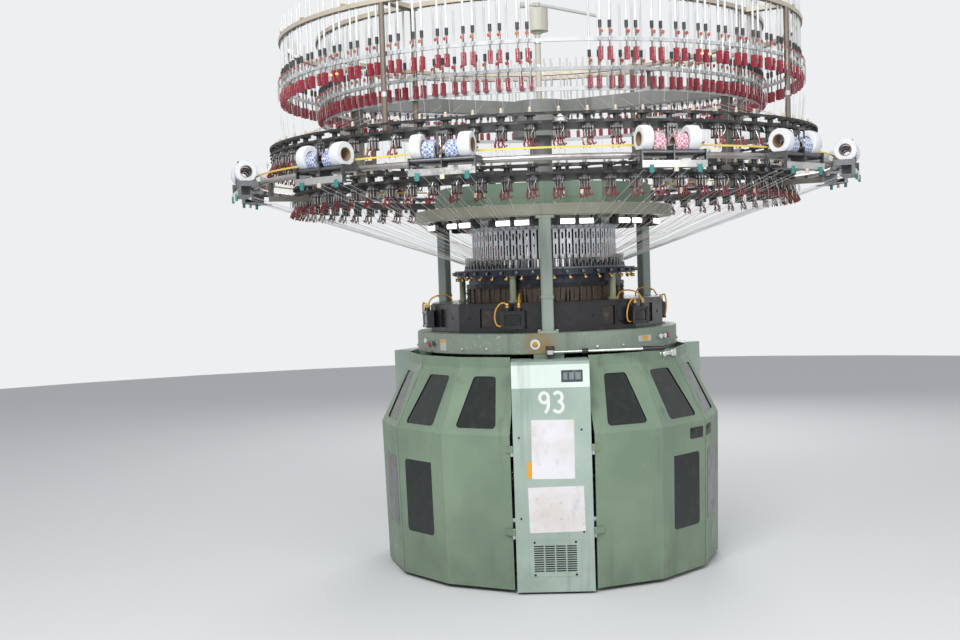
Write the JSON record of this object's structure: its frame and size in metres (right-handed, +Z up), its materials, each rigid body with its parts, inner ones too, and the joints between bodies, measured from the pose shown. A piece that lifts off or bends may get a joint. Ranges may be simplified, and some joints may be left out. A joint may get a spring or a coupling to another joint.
{
  "type": "circular knitting machine",
  "caption": "Floor-standing circular knitting machine with a folding-door cabinet, needle cylinder, yarn feeder rings, elastane roller units and stop motions on overhead rails.",
  "frame": {"origin": "on the floor, at the centre of the base frame's underside, on the axis of the needle cylinder", "axes": "+Z up along the machine axis; the leg cover with the vent, which is the front, faces -Y; +X to its right as seen from the front"},
  "size_m": [3.3318, 3.2891, 3.016],
  "materials": {
    "green_paint": "satin, worn",
    "pale_green_paint": "satin, worn",
    "cast_green": "satin",
    "black_paint": "satin",
    "grey_paint": "satin",
    "cream_paint": "satin",
    "steel": "brushed",
    "dark_steel": "oiled",
    "iron": "rust-tinged",
    "chrome": "polished",
    "aluminium": "matt",
    "tinted_window": "dark tinted, glossy",
    "white_plastic": "glossy",
    "red_plastic": "glossy",
    "black_plastic": "matt",
    "lamp": "lit",
    "belt": "matt",
    "tube": "matt",
    "orange_cable": "matt",
    "rubber_roller": "matt"
  },
  "bodies": {
    "frame": {"levelling_feet": "iron", "leg_frame": "cast_green", "leg_covers": "pale_green_paint", "vent_grille": "pale_green_paint", "door_hinges": "steel", "bed_ring": "pale_green_paint", "lever_bracket": "black_plastic", "actuator_casing": "black_paint", "actuator_boxes": "black_paint", "signal_cables": "orange_cable", "support_posts": "cast_green", "cam_ring": "iron", "sinker_plate": "dark_steel", "yarn_finger_ring": "dark_steel", "striper_ring": "aluminium", "taut_yarns": "tube", "columns": "pale_green_paint", "upper_ring": "pale_green_paint", "work_lights": "lamp", "top_housing": "cast_green", "beam_star": "grey_paint", "fan_motor": "cream_paint", "ring_posts": "grey_paint", "pipe_ring": "steel", "elastane_units": "dark_steel", "elastane_spools": "white_plastic", "lower_feeder_ring": "black_plastic", "upper_feeder_ring": "black_plastic", "feeder_belts": "belt", "stop_motion_frame": "dark_steel", "stop_motions": "red_plastic", "yarn_tubes": "tube", "drive_motor": "iron"},
    "door_front_right": {"door_front_right": "green_paint", "windows_front_right": "tinted_window"},
    "door_front_left": {"door_front_left": "green_paint", "windows_front_left": "tinted_window"},
    "door_rear_right_a": {"door_rear_right_a": "green_paint", "windows_rear_right_a": "tinted_window"},
    "door_rear_right_b": {"door_rear_right_b": "green_paint", "windows_rear_right_b": "tinted_window"},
    "door_rear_left_a": {"door_rear_left_a": "green_paint", "windows_rear_left_a": "tinted_window"},
    "door_rear_left_b": {"door_rear_left_b": "green_paint", "windows_rear_left_b": "tinted_window"},
    "button_left_white": {"button_left_white": "white_plastic"},
    "button_left_red": {"button_left_red": "red_plastic"},
    "button_left_black": {"button_left_black": "black_plastic"},
    "button_right_white_a": {"button_right_white_a": "white_plastic"},
    "button_right_white_b": {"button_right_white_b": "white_plastic"},
    "button_right_red": {"button_right_red": "red_plastic"},
    "hand_lever": {"hand_lever": "chrome"},
    "fan": {"fan_arm": "cream_paint"},
    "cylinder": {"main_gear": "iron", "needle_cylinder": "steel", "takedown_frame": "grey_paint"},
    "drive_pinion": {"drive_pinion": "steel"},
    "takedown_roller_front": {"takedown_roller_front": "rubber_roller"},
    "takedown_roller_back": {"takedown_roller_back": "rubber_roller"},
    "cloth_bar": {"cloth_bar": "steel"}
  },
  "joints": [
    {"name": "door_front_right_hinge", "type": "hinge", "parent": "frame", "child": "door_front_right", "pos_m": [0.196, -0.898, 0.5], "axis": [0, 0, -1], "range_deg": [0, 95]},
    {"name": "door_front_left_hinge", "type": "hinge", "parent": "frame", "child": "door_front_left", "pos_m": [-0.196, -0.898, 0.5], "axis": [0, 0, 1], "range_deg": [0, 95]},
    {"name": "door_rear_right_a_hinge", "type": "hinge", "parent": "frame", "child": "door_rear_right_a", "pos_m": [0.87569, 0.27926, 0.5], "axis": [0, 0, 1], "range_deg": [0, 95]},
    {"name": "door_rear_right_b_hinge", "type": "hinge", "parent": "frame", "child": "door_rear_right_b", "pos_m": [0.67969, 0.61874, 0.5], "axis": [0, 0, -1], "range_deg": [0, 95]},
    {"name": "door_rear_left_a_hinge", "type": "hinge", "parent": "frame", "child": "door_rear_left_a", "pos_m": [-0.67969, 0.61874, 0.5], "axis": [0, 0, 1], "range_deg": [0, 95]},
    {"name": "door_rear_left_b_hinge", "type": "hinge", "parent": "frame", "child": "door_rear_left_b", "pos_m": [-0.87569, 0.27926, 0.5], "axis": [0, 0, -1], "range_deg": [0, 95]},
    {"name": "button_left_white_press", "type": "slide", "parent": "frame", "child": "button_left_white", "axis": [0.891, 0.454, 0], "range_m": [0, 0.003], "stiffness_N_per_m": 400},
    {"name": "button_left_red_press", "type": "slide", "parent": "frame", "child": "button_left_red", "axis": [0.8643, 0.503, 0], "range_m": [0, 0.003], "stiffness_N_per_m": 400},
    {"name": "button_left_black_press", "type": "slide", "parent": "frame", "child": "button_left_black", "axis": [0.8231, 0.5678, 0], "range_m": [0, 0.003], "stiffness_N_per_m": 400},
    {"name": "button_right_white_a_press", "type": "slide", "parent": "frame", "child": "button_right_white_a", "axis": [-0.809, 0.5878, 0], "range_m": [0, 0.003], "stiffness_N_per_m": 400},
    {"name": "button_right_white_b_press", "type": "slide", "parent": "frame", "child": "button_right_white_b", "axis": [-0.8443, 0.5358, 0], "range_m": [0, 0.003], "stiffness_N_per_m": 400},
    {"name": "button_right_red_press", "type": "slide", "parent": "frame", "child": "button_right_red", "axis": [-0.8763, 0.4818, 0], "range_m": [0, 0.003], "stiffness_N_per_m": 400},
    {"name": "hand_lever_swing", "type": "hinge", "parent": "frame", "child": "hand_lever", "pos_m": [0.006, -0.735, 1.158], "axis": [0, 0, -1], "range_deg": [0, 35]},
    {"name": "fan_turn", "type": "hinge", "parent": "frame", "child": "fan", "pos_m": [0, 0, 3], "axis": [0, 0, 1], "continuous": true},
    {"name": "cylinder_turn", "type": "hinge", "parent": "frame", "child": "cylinder", "pos_m": [0, 0, 1.2], "axis": [0, 0, 1], "continuous": true},
    {"name": "pinion_turn", "type": "hinge", "parent": "frame", "child": "drive_pinion", "pos_m": [0, 0.56, 1.2], "axis": [0, 0, 1], "continuous": true},
    {"name": "takedown_roller_front_turn", "type": "hinge", "parent": "cylinder", "child": "takedown_roller_front", "pos_m": [0, -0.041, 0.64], "axis": [1, 0, 0], "continuous": true},
    {"name": "takedown_roller_back_turn", "type": "hinge", "parent": "cylinder", "child": "takedown_roller_back", "pos_m": [0, 0.041, 0.64], "axis": [1, 0, 0], "continuous": true},
    {"name": "cloth_bar_turn", "type": "hinge", "parent": "cylinder", "child": "cloth_bar", "pos_m": [0, 0, 0.42], "axis": [1, 0, 0], "continuous": true}
  ],
  "couplings": [
    {"joint": "pinion_turn", "follows": "cylinder_turn", "ratio": -6},
    {"joint": "takedown_roller_back_turn", "follows": "takedown_roller_front_turn", "ratio": -1}
  ]
}
